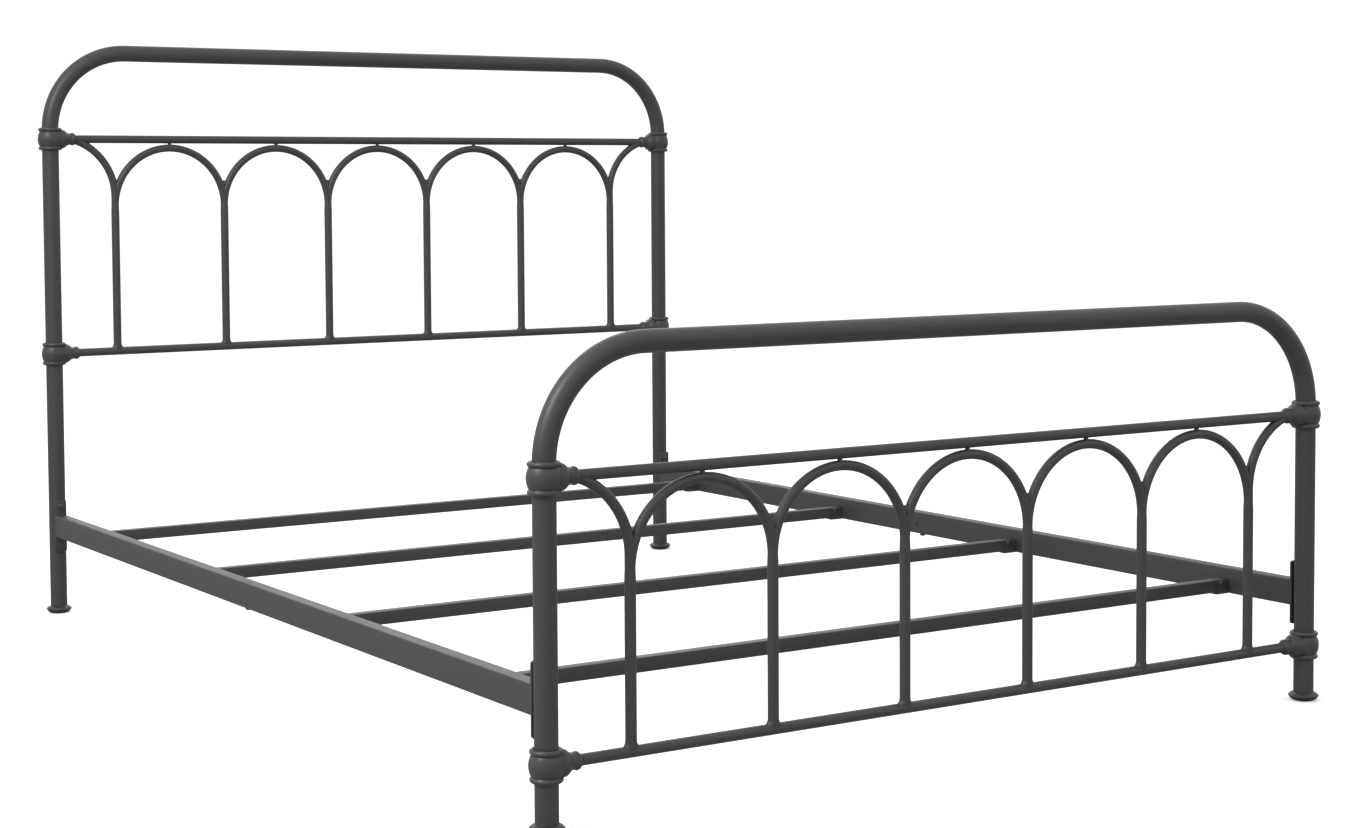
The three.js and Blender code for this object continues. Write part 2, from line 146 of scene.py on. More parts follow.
def makeFloor():
    bm = bmesh.new()
    bmesh.ops.create_grid(bm, x_segments=1, y_segments=1, size=floorSettings["reach"])
    mesh = bpy.data.meshes.new("floor")
    bm.to_mesh(mesh)
    bm.free()
    floor = bpy.data.objects.new("floor", mesh)
    material = bpy.data.materials.new("paleFloor")
    material.use_nodes = True
    shader = material.node_tree.nodes["Principled BSDF"]
    shader.inputs["Roughness"].default_value = floorSettings["roughness"]
    tree = material.node_tree
    path = tree.nodes.new("ShaderNodeLightPath")
    tint = tree.nodes.new("ShaderNodeMix")
    tint.data_type = "RGBA"
    tint.inputs["A"].default_value = (*floorSettings["bounce"], 1)
    tint.inputs["B"].default_value = (*floorSettings["color"], 1)
    glow = tree.nodes.new("ShaderNodeMath")
    glow.operation = "MULTIPLY"
    glow.inputs[1].default_value = floorSettings["glow"]
    tree.links.new(path.outputs["Is Camera Ray"], tint.inputs["Factor"])
    tree.links.new(path.outputs["Is Camera Ray"], glow.inputs[0])
    tree.links.new(tint.outputs["Result"], shader.inputs["Base Color"])
    shader.inputs["Emission Color"].default_value = (1, 1, 1, 1)
    tree.links.new(glow.outputs["Value"], shader.inputs["Emission Strength"])
    mesh.materials.append(material)
    bpy.context.scene.collection.objects.link(floor)


makeCamera()
makeLights()
makeFloor()
print("camera, light and floor made")


# Node groups hold the surface effects that the finishes share.
def newGroup(name, inputs, outputs):
    group = bpy.data.node_groups.new(name, "ShaderNodeTree")
    for label, kind, value in inputs:
        socket = group.interface.new_socket(name=label, in_out="INPUT", socket_type=kind)
        if value is not None:
            socket.default_value = value
    for label, kind in outputs:
        group.interface.new_socket(name=label, in_out="OUTPUT", socket_type=kind)
    return group, group.nodes.new("NodeGroupInput"), group.nodes.new("NodeGroupOutput")


def addNoise(tree, vector, scale, detail, roughness=0.5):
    noise = tree.nodes.new("ShaderNodeTexNoise")
    noise.inputs["Detail"].default_value = detail
    noise.inputs["Roughness"].default_value = roughness
    tree.links.new(vector, noise.inputs["Vector"])
    if isinstance(scale, bpy.types.NodeSocket):
        tree.links.new(scale, noise.inputs["Scale"])
    else:
        noise.inputs["Scale"].default_value = scale
    return noise.outputs["Fac"]


def addMath(tree, operation, first, second):
    node = tree.nodes.new("ShaderNodeMath")
    node.operation = operation
    for socket, value in zip(node.inputs, (first, second)):
        if isinstance(value, bpy.types.NodeSocket):
            tree.links.new(value, socket)
        else:
            socket.default_value = value
    return node.outputs[0]


def addRange(tree, value, low, high, toLow=0.0, toHigh=1.0):
    node = tree.nodes.new("ShaderNodeMapRange")
    node.inputs["From Min"].default_value = low
    node.inputs["From Max"].default_value = high
    node.inputs["To Min"].default_value = toLow
    node.inputs["To Max"].default_value = toHigh
    tree.links.new(value, node.inputs["Value"])
    return node.outputs["Result"]


effectSettings = {
    "fineShare": 0.25,  # height of the speckle against the peel
    "speckleRange": (0.35, 0.65),
    "patchRange": (0.3, 0.7),
    "rubRadius": 0.0012,
    "rubSamples": 4,
    "edgeRange": (0.995, 0.9),  # rounded normal against the true one
    "outerRange": (0.49, 0.52),  # pointiness of outer edges
    "gapRange": (0.35, 0.6),
    # Ambient occlusion that paints shade into the joints.
    "shadeSamples": 4,
    "shadeRange": (0.75, 0.25),
}


# Fine orange peel of baked powder, with slow patches of thicker and thinner coat.
def makePowderGrain():
    group, start, end = newGroup(
        "powderGrain",
        [("Vector", "NodeSocketVector", None), ("Peel Scale", "NodeSocketFloat", 900.0),
         ("Speckle Scale", "NodeSocketFloat", 2600.0), ("Patch Scale", "NodeSocketFloat", 6.0)],
        [("Height", "NodeSocketFloat"), ("Speckle", "NodeSocketFloat"), ("Patch", "NodeSocketFloat")],
    )
    peel = addNoise(group, start.outputs["Vector"], start.outputs["Peel Scale"], 2.0)
    speckle = addNoise(group, start.outputs["Vector"], start.outputs["Speckle Scale"], 1.0)
    patch = addNoise(group, start.outputs["Vector"], start.outputs["Patch Scale"], 3.0, 0.6)
    fine = addMath(group, "MULTIPLY", speckle, effectSettings["fineShare"])
    height = addMath(group, "ADD", peel, fine)
    group.links.new(height, end.inputs["Height"])
    group.links.new(addRange(group, speckle, *effectSettings["speckleRange"]), end.inputs["Speckle"])
    group.links.new(addRange(group, patch, *effectSettings["patchRange"]), end.inputs["Patch"])
    return group


# 1 on sharp outer edges, where the coat is thin and rubbed, broken up by noise.
def makeEdgeRub():
    group, start, end = newGroup(
        "edgeRub",
        [("Vector", "NodeSocketVector", None), ("Break Scale", "NodeSocketFloat", 160.0)],
        [("Rub", "NodeSocketFloat")],
    )
    geometry = group.nodes.new("ShaderNodeNewGeometry")
    rounded = group.nodes.new("ShaderNodeBevel")
    rounded.samples = effectSettings["rubSamples"]
    rounded.inputs["Radius"].default_value = effectSettings["rubRadius"]
    compare = group.nodes.new("ShaderNodeVectorMath")
    compare.operation = "DOT_PRODUCT"
    group.links.new(rounded.outputs["Normal"], compare.inputs[0])
    group.links.new(geometry.outputs["Normal"], compare.inputs[1])
    edge = addRange(group, compare.outputs["Value"], *effectSettings["edgeRange"])
    outer = addRange(group, geometry.outputs["Pointiness"], *effectSettings["outerRange"])
    breaks = addNoise(group, start.outputs["Vector"], start.outputs["Break Scale"], 3.0)
    gaps = addRange(group, breaks, *effectSettings["gapRange"])
    rub = addMath(group, "MULTIPLY", addMath(group, "MULTIPLY", edge, outer), gaps)
    group.links.new(rub, end.inputs["Rub"])
    return group


# Painted shade: 1 deep in the joints between pieces, where ambient occlusion finds shade, so the coat is darkened
# there.
def makeJointShade():
    group, start, end = newGroup(
        "jointShade",
        [("Reach", "NodeSocketFloat", 0.004)],
        [("Shade", "NodeSocketFloat")],
    )
    shadow = group.nodes.new("ShaderNodeAmbientOcclusion")
    shadow.samples = effectSettings["shadeSamples"]
    group.links.new(start.outputs["Reach"], shadow.inputs["Distance"])
    group.links.new(addRange(group, shadow.outputs["AO"], *effectSettings["shadeRange"]), end.inputs["Shade"])
    return group


powderGrain = makePowderGrain()
edgeRub = makeEdgeRub()
jointShade = makeJointShade()


# Helpers that put the groups and colours of a finish together.
def mixColor(tree, factor, first, second):
    node = tree.nodes.new("ShaderNodeMix")
    node.data_type = "RGBA"
    tree.links.new(factor, node.inputs["Factor"])
    for socket, value in ((node.inputs["A"], first), (node.inputs["B"], second)):
        if isinstance(value, bpy.types.NodeSocket):
            tree.links.new(value, socket)
        else:
            socket.default_value = (*value, 1)
    return node.outputs["Result"]


def placeGroup(tree, group, vector=None, **values):
    node = tree.nodes.new("ShaderNodeGroup")
    node.node_tree = group
    if vector is not None:
        tree.links.new(vector, node.inputs["Vector"])
    for label, value in values.items():
        node.inputs[label.replace("_", " ")].default_value = value
    return node


def makeCoat(name, settings):
    material = bpy.data.materials.new(name)
    material.use_nodes = True
    tree = material.node_tree
    shader = tree.nodes["Principled BSDF"]
    place = tree.nodes.new("ShaderNodeTexCoord").outputs["Object"]
    grain = placeGroup(tree, powderGrain, place, Peel_Scale=settings["peelScale"],
                       Speckle_Scale=settings["speckleScale"], Patch_Scale=settings["patchScale"])
    rub = placeGroup(tree, edgeRub, place, Break_Scale=settings["breakScale"])
    shade = placeGroup(tree, jointShade, Reach=settings["shadeReach"])
    patchMask = addMath(tree, "MULTIPLY", grain.outputs["Patch"], settings["patchShare"])
    color = mixColor(tree, patchMask, settings["color"], settings["patchColor"])
    speckleMask = addMath(tree, "MULTIPLY", grain.outputs["Speckle"], settings["speckleShare"])
    color = mixColor(tree, speckleMask, color, settings["speckleColor"])
    rubMask = addMath(tree, "MULTIPLY", rub.outputs["Rub"], settings["rubShare"])
    color = mixColor(tree, rubMask, color, settings["rubColor"])
    # Painted shade: the colour is darkened towards shadeColor where the joint shade mask is high.
    shadeMask = addMath(tree, "MULTIPLY", shade.outputs["Shade"], settings["shadeShare"])
    color = mixColor(tree, shadeMask, color, settings["shadeColor"])
    tree.links.new(color, shader.inputs["Base Color"])
    rough = addRange(tree, grain.outputs["Patch"], 0.0, 1.0, settings["roughness"][0], settings["roughness"][1])
    rough = addMath(tree, "SUBTRACT", rough, addMath(tree, "MULTIPLY", rubMask, settings["rubPolish"]))
    tree.links.new(rough, shader.inputs["Roughness"])
    shader.inputs["Metallic"].default_value = settings["metallic"]
    shader.inputs["Specular IOR Level"].default_value = settings["specular"]
    bump = tree.nodes.new("ShaderNodeBump")
    bump.inputs["Strength"].default_value = settings["bump"]
    bump.inputs["Distance"].default_value = settings["bumpDepth"]
    tree.links.new(grain.outputs["Height"], bump.inputs["Height"])
    tree.links.new(bump.outputs["Normal"], shader.inputs["Normal"])
    return material


powderSettings = {
    "color": (0.039, 0.0383, 0.0428),
    "patchColor": (0.045, 0.0443, 0.0492),
    "patchShare": 0.6,
    "speckleColor": (0.060, 0.060, 0.066),
    "speckleShare": 0.25,
    "rubColor": (0.13, 0.13, 0.135),
    "rubShare": 0.4,
    "rubPolish": 0.12,
    # Painted shade in the joints: its colour, strength and occlusion reach.
    "shadeColor": (0.014, 0.014, 0.016),
    "shadeShare": 0.55,
    "shadeReach": 0.007,
    "roughness": (0.42, 0.50),
    "metallic": 0.0,
    "specular": 0.5,
    "peelScale": 700.0,
    "speckleScale": 2400.0,
    "patchScale": 7.0,
    "breakScale": 160.0,
    "bump": 0.35,
    "bumpDepth": 0.00025,
}
castSettings = {
    **powderSettings,
    "color": (0.041, 0.0403, 0.0448),
    "patchColor": (0.050, 0.0492, 0.0545),
    "patchScale": 60.0,
    "peelScale": 420.0,
    "roughness": (0.36, 0.46),
    "rubShare": 0.5,
    "bump": 0.45,
    "bumpDepth": 0.0004,
}
glideSettings = {
    **powderSettings,
    "color": (0.027, 0.0265, 0.030),
    "patchScale": 40.0,
    "rubShare": 0.6,
    "roughness": (0.38, 0.48),
}
boltSettings = {
    **powderSettings,
    "color": (0.055, 0.055, 0.060),
    "patchColor": (0.085, 0.085, 0.090),
    "patchScale": 120.0,
    "speckleColor": (0.13, 0.13, 0.135),
    "rubColor": (0.30, 0.30, 0.31),
    "rubShare": 0.7,
    "roughness": (0.32, 0.44),
    "metallic": 0.6,
    "peelScale": 1400.0,
    "bump": 0.2,
}
powderCoat = makeCoat("slateGreyPowderCoat", powderSettings)
castCoat = makeCoat("slateGreyCastCoat", castSettings)
glideCoat = makeCoat("turnedGlideCoat", glideSettings)
boltZinc = makeCoat("darkBoltZinc", boltSettings)
print("finishes made")


# Helpers for names, places and meshes.
def centreOf(node):
    low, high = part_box(node)
    return (low + high) / 2


def pieceName(*words):
    parts = [part for word in words for part in str(word).split("_")]
    return parts[0] + "".join(part[:1].upper() + part[1:] for part in parts[1:])


# Each item once, in the order met, so that every run builds the same mesh.
def distinct(items):
    return list(dict.fromkeys(items))


def newEdges(made):
    return [item for item in made["geom"] if isinstance(item, bmesh.types.BMEdge) and item.is_boundary]


def loopVerts(edges):
    return distinct(vert for edge in edges for vert in edge.verts)


def ringAt(bm, radius, segments, place):
    made = bmesh.ops.create_circle(bm, cap_ends=False, segments=segments, radius=radius, matrix=place)
    return distinct(edge for vert in made["verts"] for edge in vert.link_edges)


# Pulls a new ring out of an open ring, and scales it about its own middle.
def pullRing(bm, edges, shift, scale=(1, 1, 1)):
    edges = newEdges(bmesh.ops.extrude_edge_only(bm, edges=edges))
    verts = loopVerts(edges)
    bmesh.ops.translate(bm, verts=verts, vec=shift)
    middle = sum((vert.co for vert in verts), Vector()) / len(verts)
    bmesh.ops.scale(bm, verts=verts, vec=scale, space=Matrix.Translation(-middle))
    return edges


def bendRing(bm, edges, centre, axis, degrees, steps):
    made = bmesh.ops.spin(bm, geom=loopVerts(edges) + edges, cent=centre, axis=axis, dvec=(0, 0, 0),
                          angle=math.radians(degrees), steps=steps, use_merge=False, use_duplicate=False)
    return [item for item in made["geom_last"] if isinstance(item, bmesh.types.BMEdge)]


def closeRing(bm, edges):
    bmesh.ops.edgeloop_fill(bm, edges=edges)


# Every vertex that edges join to the given ones.
def joinedVerts(verts):
    joined = list(verts)
    met = set(verts)
    for vert in joined:
        for edge in vert.link_edges:
            other = edge.other_vert(vert)
            if other not in met:
                met.add(other)
                joined.append(other)
    return joined


# Turns an outline of (radius, height) points about +Z, then puts it in place.
def turnOutline(bm, outline, steps, place):
    verts = [bm.verts.new((radius, 0, height)) for radius, height in outline]
    edges = [bm.edges.new(pair) for pair in zip(verts, verts[1:])]
    bmesh.ops.spin(bm, geom=verts + edges, cent=(0, 0, 0), axis=(0, 0, 1), dvec=(0, 0, 0),
                   angle=math.radians(360), steps=steps, use_merge=True, use_duplicate=False)
    bmesh.ops.transform(bm, matrix=place, verts=joinedVerts(verts))


# Points of a round stretch of an outline, from one angle to another, in degrees.
def roundStretch(centre, radius, startAngle, endAngle, steps, flatten=1.0):
    points = []
    for step in range(steps + 1):
        angle = math.radians(startAngle + (endAngle - startAngle) * step / steps)
        points.append((centre[0] + radius * math.cos(angle), centre[1] + flatten * radius * math.sin(angle)))
    return points


def boxAt(bm, low, high):
    size = Vector(high) - Vector(low)
    place = Matrix.Translation((Vector(low) + Vector(high)) / 2) @ Matrix.Diagonal((*size, 1))
    return bmesh.ops.create_cube(bm, size=1, matrix=place)["verts"]


def bevelEdges(bm, edges, offset, segments):
    return bmesh.ops.bevel(bm, geom=edges, affect="EDGES", offset=offset, offset_type="OFFSET",
                           segments=segments, profile=0.5, material=-1, clamp_overlap=True)


def edgesAlong(verts, axis):
    found = []
    for edge in distinct(edge for vert in verts for edge in vert.link_edges):
        line = edge.verts[1].co - edge.verts[0].co
        if line.length > 1e-9 and abs(line.normalized()[axis]) > 0.999:
            found.append(edge)
    return found


def finishPiece(bm, name, material, nodes=(), sharpAngle=38):
    bmesh.ops.remove_doubles(bm, verts=bm.verts, dist=1e-6)
    bmesh.ops.recalc_face_normals(bm, faces=bm.faces)
    mesh = bpy.data.meshes.new(name)
    bm.to_mesh(mesh)
    bm.free()
    mesh.shade_smooth()
    mesh.set_sharp_from_angle(angle=math.radians(sharpAngle))
    mesh.materials.append(material)
    piece = bpy.data.objects.new(name, mesh)
    bpy.context.scene.collection.objects.link(piece)
    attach(piece, "root")
    if nodes:
        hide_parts(*nodes)
    return piece


# Bow tubes: two posts and the top bar of a board, bent from one tube.
bowTube = {"radius": 0.0175, "wall": 0.0015, "bendRadius": 0.168, "bendSteps": 40, "roundSteps": 56, "hollow": 0.05}


def hollowEnd(bm, edges, depth):
    share = 1 - bowTube["wall"] / bowTube["radius"]
    inner = pullRing(bm, edges, (0, 0, 0), (share, share, 1))
    inner = pullRing(bm, inner, (0, 0, depth))
    closeRing(bm, inner)


def makeBowTube(board):
    low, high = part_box(f"{board}_bow_tube")
    leftFoot = centreOf(f"{board}_glide_left")
    rightFoot = centreOf(f"{board}_glide_right")
    bend = bowTube["bendRadius"]
    bendHeight = high.z - bowTube["radius"] - bend
    bm = bmesh.new()
    firstRing = ringAt(bm, bowTube["radius"], bowTube["roundSteps"],
                       Matrix.Translation((leftFoot.x, leftFoot.y, low.z)))
    ring = pullRing(bm, firstRing, (0, 0, bendHeight - low.z))
    ring = bendRing(bm, ring, (leftFoot.x + bend, leftFoot.y, bendHeight), (0, 1, 0), 90, bowTube["bendSteps"])
    ring = pullRing(bm, ring, (rightFoot.x - leftFoot.x - 2 * bend, 0, 0))
    ring = bendRing(bm, ring, (rightFoot.x - bend, leftFoot.y, bendHeight), (0, 1, 0), 90, bowTube["bendSteps"])
    lastRing = pullRing(bm, ring, (0, 0, low.z - bendHeight))
    hollowEnd(bm, [edge for edge in firstRing if edge.is_valid], bowTube["hollow"])
    hollowEnd(bm, lastRing, bowTube["hollow"])
    return finishPiece(bm, pieceName(board, "bow_tube"), powderCoat, [f"{board}_bow_tube"])


# Rails: the two thin tubes across each board.
thinBar = {"radius": 0.0086, "roundSteps": 36}


def makeRail(board, level):
    node = f"{board}_{level}_rail"
    low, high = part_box(node)
    middle = (low + high) / 2
    bm = bmesh.new()
    place = Matrix.Translation((low.x, middle.y, middle.z)) @ alongX
    ring = ringAt(bm, thinBar["radius"], thinBar["roundSteps"], place)
    closeRing(bm, ring)
    ring = [edge for edge in ring if edge.is_valid]
    closeRing(bm, pullRing(bm, ring, (high.x - low.x, 0, 0)))
    return finishPiece(bm, pieceName(node), powderCoat, [node])


# Spindles: upright bars, flared by the weld at the foot and drawn in under the arches.
spindleForm = {
    # height over the rail axis, widening along the rail
    "flare": [(0.0165, 1.0), (0.0138, 1.05), (0.0118, 1.14), (0.0100, 1.28), (0.0085, 1.46), (0.0072, 1.62)],
    "neckDrop": 0.012,
    "neckRise": 0.004,
    "neckScale": 0.93,
}


def makeSpindle(board, number):
    node = f"{board}_spindle_{number}"
    low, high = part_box(node)
    middle = (low + high) / 2
    railHeight = centreOf(f"{board}_lower_rail").z
    heights = [railHeight] + [railHeight + rise for rise, wide in reversed(spindleForm["flare"])]
    widths = [spindleForm["flare"][-1][1]] + [wide for rise, wide in reversed(spindleForm["flare"])]
    heights += [high.z - spindleForm["neckDrop"], high.z + spindleForm["neckRise"]]
    widths += [1.0, 1.0]
    bm = bmesh.new()
    place = Matrix.Translation((middle.x, middle.y, railHeight)) @ Matrix.Diagonal((widths[0], 1, 1, 1))
    ring = ringAt(bm, thinBar["radius"], thinBar["roundSteps"], place)
    closeRing(bm, ring)
    ring = [edge for edge in ring if edge.is_valid]
    for index in range(1, len(heights)):
        rise = heights[index] - heights[index - 1]
        ring = pullRing(bm, ring, (0, 0, rise), (widths[index] / widths[index - 1], 1, 1))
    shrink = spindleForm["neckScale"]
    bmesh.ops.scale(bm, verts=loopVerts(ring), vec=(shrink, shrink, 1),
                    space=Matrix.Translation((-middle.x, -middle.y, 0)))
    closeRing(bm, ring)
    return finishPiece(bm, pieceName(node), powderCoat, [node])


# Arches: round rod bent to a half circle, with a small weld on the crown.
archForm = {
    "radius": 0.0080,
    "roundSteps": 32,
    "bendSteps": 56,
    "rootDepth": 0.006,
    "weldOutline": [(0.0, 0.0), (0.0072, 0.0), (0.0055, 0.0022), (0.0042, 0.0045), (0.0038, 0.0062),
                    (0.0043, 0.0080), (0.0058, 0.0102), (0.0076, 0.0120), (0.0, 0.0120)],
    "weldSteps": 28,
    "crotchWidth": 0.0056,
    "crotchDepth": 0.0066,
    "crotchHeight": 0.0080,
    "crotchDrop": -0.0015,
}


# The weld that fills the narrow corner where two arches part over a spindle.
def addCrotchWeld(bm, spindle, spring, bendRadius):
    reach = bendRadius + archForm["radius"]
    height = spring + math.sqrt(reach ** 2 - bendRadius ** 2) - archForm["crotchDrop"]
    stretch = Matrix.Diagonal((archForm["crotchWidth"], archForm["crotchHeight"], archForm["crotchDepth"], 1))
    place = Matrix.Translation((spindle.x, spindle.y, height)) @ alongY @ stretch
    turnOutline(bm, roundStretch((0.0, 0.0), 1.0, -90, 90, 12), 20, place)


def makeArch(board, number):
    node = f"{board}_arch_{number}"
    left = centreOf(f"{board}_spindle_{number}")
    right = centreOf(f"{board}_spindle_{number + 1}")
    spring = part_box(f"{board}_spindle_{number}")[1].z
    railHeight = centreOf(f"{board}_upper_rail").z
    bendRadius = (right.x - left.x) / 2
    crown = Vector(((left.x + right.x) / 2, left.y, spring))
    bm = bmesh.new()
    place = Matrix.Translation((left.x, left.y, spring - archForm["rootDepth"]))
    ring = ringAt(bm, archForm["radius"], archForm["roundSteps"], place)
    closeRing(bm, ring)
    ring = pullRing(bm, [edge for edge in ring if edge.is_valid], (0, 0, archForm["rootDepth"]))
    ring = bendRing(bm, ring, crown, (0, 1, 0), 180, archForm["bendSteps"])
    closeRing(bm, pullRing(bm, ring, (0, 0, -archForm["rootDepth"])))
    weldHeight = archForm["weldOutline"][-1][1]
    crownTop = spring + bendRadius + archForm["radius"]
    railBottom = railHeight - thinBar["radius"]
    weldFoot = (crownTop + railBottom) / 2 - weldHeight / 2
    turnOutline(bm, archForm["weldOutline"], archForm["weldSteps"], Matrix.Translation((crown.x, crown.y, weldFoot)))
    if number > 1:
        addCrotchWeld(bm, left, spring, bendRadius)
    return finishPiece(bm, pieceName(node), powderCoat, [node])


# End arches: the quarter turn beside each post, run into the rail at the collar.
endArch = {"rise": 0.003, "bendSteps": 34}


def makeEndArch(board, sideName):
    node = f"{board}_end_arch_{sideName}"
    number = 1 if sideName == "left" else 6
    towardsPost = -1 if sideName == "left" else 1
    spindle = centreOf(f"{board}_spindle_{number}")
    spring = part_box(f"{board}_spindle_{number}")[1].z
    bendRadius = (centreOf(f"{board}_spindle_2").x - centreOf(f"{board}_spindle_1").x) / 2
    railHeight = centreOf(f"{board}_upper_rail").z
    bendHeight = railHeight + endArch["rise"] - bendRadius
    turn = math.degrees(math.asin((railHeight - bendHeight) / bendRadius))
    bm = bmesh.new()
    place = Matrix.Translation((spindle.x, spindle.y, spring - archForm["rootDepth"]))
    ring = ringAt(bm, archForm["radius"], archForm["roundSteps"], place)
    closeRing(bm, ring)
    ring = [edge for edge in ring if edge.is_valid]
    ring = pullRing(bm, ring, (0, 0, bendHeight - spring + archForm["rootDepth"]))
    centre = (spindle.x + towardsPost * bendRadius, spindle.y, bendHeight)
    ring = bendRing(bm, ring, centre, (0, towardsPost, 0), turn, endArch["bendSteps"])
    closeRing(bm, ring)
    addCrotchWeld(bm, spindle, spring, bendRadius)
    return finishPiece(bm, pieceName(node), powderCoat, [node])


# Collars: a cast barrel with a bead at each end, and a bell that holds the rail.
collarForm = {
    "halfHeight": 0.024,
    "boreRadius": 0.0174,
    "boreEdge": 0.0006,
    "faceRadius": 0.0218,
    "beadCentre": 0.0206,  # radius to the middle of the bead
    "beadHeight": 0.0199,  # height of its middle over the rail axis
    "beadRadius": 0.0040,
    "grooveRadius": 0.0219,
    "grooveHeight": 0.0155,
    "barrelEdge": 0.0227,
    "barrelHeight": 0.0146,
    "bulgeRadius": 0.0260,
    "barrelSteps": 16,
    "roundSteps": 72,
    "bellSteps": 56,
    # distance from the post axis, radius
    "bell": [(0.0120, 0.0204), (0.0245, 0.0206), (0.0270, 0.0203), (0.0292, 0.0195), (0.0313, 0.0182),
             (0.0334, 0.0165), (0.0354, 0.0149), (0.0374, 0.0137), (0.0394, 0.0130), (0.0414, 0.0127),
             (0.0434, 0.0126)],
    "ring": [(0.0446, 0.0127), (0.0453, 0.0130), (0.0462, 0.0135), (0.0473, 0.0138), (0.0487, 0.0138),
             (0.0501, 0.0134), (0.0514, 0.0127), (0.0526, 0.0117), (0.0538, 0.0106), (0.0549, 0.0098)],
    "end": 0.0557,
    "throat": 0.0088,
}


def barrelOutline():
    form = collarForm
    sagitta = form["bulgeRadius"] - form["barrelEdge"]
    bulge = (form["barrelHeight"] ** 2 + sagitta ** 2) / (2 * sagitta)
    spread = math.degrees(math.asin(form["barrelHeight"] / bulge))
    upper = [(form["grooveRadius"], form["grooveHeight"])]
    upper += roundStretch((form["beadCentre"], form["beadHeight"]), form["beadRadius"], -65, 70, 9)
    upper += [(form["faceRadius"], form["halfHeight"]), (form["boreRadius"] + form["boreEdge"], form["halfHeight"])]
    upper += [(form["boreRadius"], form["halfHeight"] - form["boreEdge"])]
    lower = [(radius, -height) for radius, height in reversed(upper)]
    barrel = roundStretch((form["bulgeRadius"] - bulge, 0), bulge, -spread, spread, form["barrelSteps"])
    return lower + barrel + upper + lower[:1]


def bellOutline():
    form = collarForm
    outline = [(0.0, form["bell"][0][0])] + [(radius, reach) for reach, radius in form["bell"] + form["ring"]]
    return outline + [(form["throat"], form["end"]), (0.0, form["end"])]


def makeCollar(board, level, sideName):
    node = f"{board}_{level}_collar_{sideName}"
    post = centreOf(f"{board}_glide_{sideName}")
    height = centreOf(f"{board}_{level}_rail").z
    inward = 90 if sideName == "left" else -90
    place = Matrix.Translation((post.x, post.y, height))
    bm = bmesh.new()
    turnOutline(bm, barrelOutline(), collarForm["roundSteps"], place)
    bellTurn = Matrix.Rotation(math.radians(inward), 4, "Y")
    turnOutline(bm, bellOutline(), collarForm["bellSteps"], place @ bellTurn)
    return finishPiece(bm, pieceName(node), castCoat, [node], 50)


# Floor glides: a shallow bowl and a low dome with a thin rim between them.
glideForm = {
    # radius, height
    "bowl": [(0.0160, 0.0), (0.0170, 0.0004), (0.0196, 0.0014), (0.0217, 0.0027), (0.0236, 0.0044), (0.0252, 0.0064)],
    "rimCentre": (0.0257, 0.0086),
    "rimRound": 0.0008,
    "dome": [(0.0253, 0.0104), (0.0240, 0.0119), (0.0222, 0.0131), (0.0203, 0.0139), (0.0190, 0.0143),
             (0.0184, 0.0148)],
    "height": 0.0148,
    "roundSteps": 64,
    "shank": 0.0146,
    "shankTop": 0.0400,
}


def glideOutline():
    form = glideForm
    rim = roundStretch(form["rimCentre"], form["rimRound"], -50, 45, 6)
    plug = [(form["shank"], form["height"]), (form["shank"], form["shankTop"]), (0.0, form["shankTop"])]
    return [(0.0, 0.0)] + form["bowl"] + rim + form["dome"] + plug


def makeGlide(board, sideName):
    node = f"{board}_glide_{sideName}"
    foot = centreOf(node)
    bm = bmesh.new()
    turnOutline(bm, glideOutline(), glideForm["roundSteps"], Matrix.Translation((foot.x, foot.y, 0)))
    return finishPiece(bm, pieceName(node), glideCoat, [node], 50)


# Side rails: rectangular tube with welded end plates and slat saddles.
sideRail = {
    "width": 0.025,
    "depth": 0.046,
    "corner": 0.0025,
    "cornerSteps": 5,
    "wall": 0.0015,
    "plateWidth": 0.026,
    "plateHeight": 0.112,
    "plateThickness": 0.004,
    "plateCorner": 0.005,
    "plateEdge": 0.0006,
    "saddleLength": 0.026,
    "saddlePlate": 0.003,
    "saddleDrop": 0.0043,
    "saddleTop": 0.021,
    "saddleCorner": 0.006,
    "slatWidth": 0.020,
    "slatGap": 0.0003,
    "holeRadius": 0.0065,
    "holeHeight": -0.005,
    "holeSteps": 32,
    "holePatch": 1.4,  # square round the hole, in hole radii
    "plugRim": 0.95,
    "plugFace": 0.6,
    "plugDepth": 0.0016,
}


def addPlate(bm, x, y, z, thicknessSide):
    half = Vector((sideRail["plateWidth"] / 2, 0, sideRail["plateHeight"] / 2))
    low = Vector((x, min(y, y + thicknessSide * sideRail["plateThickness"]), z)) - half
    high = Vector((x, max(y, y + thicknessSide * sideRail["plateThickness"]), z)) + half
    verts = boxAt(bm, low, high)
    rounded = bevelEdges(bm, edgesAlong(verts, 1), sideRail["plateCorner"], 6)
    faces = distinct(face for vert in rounded["verts"] for face in vert.link_faces)
    flat = [face for face in faces if abs(face.normal.y) > 0.99]
    rims = distinct(edge for face in flat for edge in face.edges)
    bevelEdges(bm, rims, sideRail["plateEdge"], 2)


def addSaddle(bm, railFace, inward, y, slatBottom):
    half = sideRail["slatWidth"] / 2 + sideRail["slatGap"]
    outer = half + sideRail["saddlePlate"]
    bottom = slatBottom - sideRail["saddleDrop"]
    top = slatBottom + sideRail["saddleTop"]
    start = railFace - inward * sideRail["wall"] / 2
    outline = [(-outer, top), (-outer, bottom), (outer, bottom), (outer, top), (half, top),
               (half, slatBottom - sideRail["slatGap"]), (-half, slatBottom - sideRail["slatGap"]), (-half, top)]
    verts = [bm.verts.new((start, y + across, height)) for across, height in outline]
    face = bm.faces.new(verts)
    made = bmesh.ops.extrude_face_region(bm, geom=[face])
    moved = [item for item in made["geom"] if isinstance(item, bmesh.types.BMVert)]
    reach = railFace + inward * sideRail["saddleLength"] - start
    bmesh.ops.translate(bm, verts=moved, vec=(reach, 0, 0))
    lowEdges = [edge for edge in edgesAlong(verts, 0) if edge.verts[0].co.z < bottom + 1e-6]
    bevelEdges(bm, lowEdges, sideRail["saddleCorner"], 7)


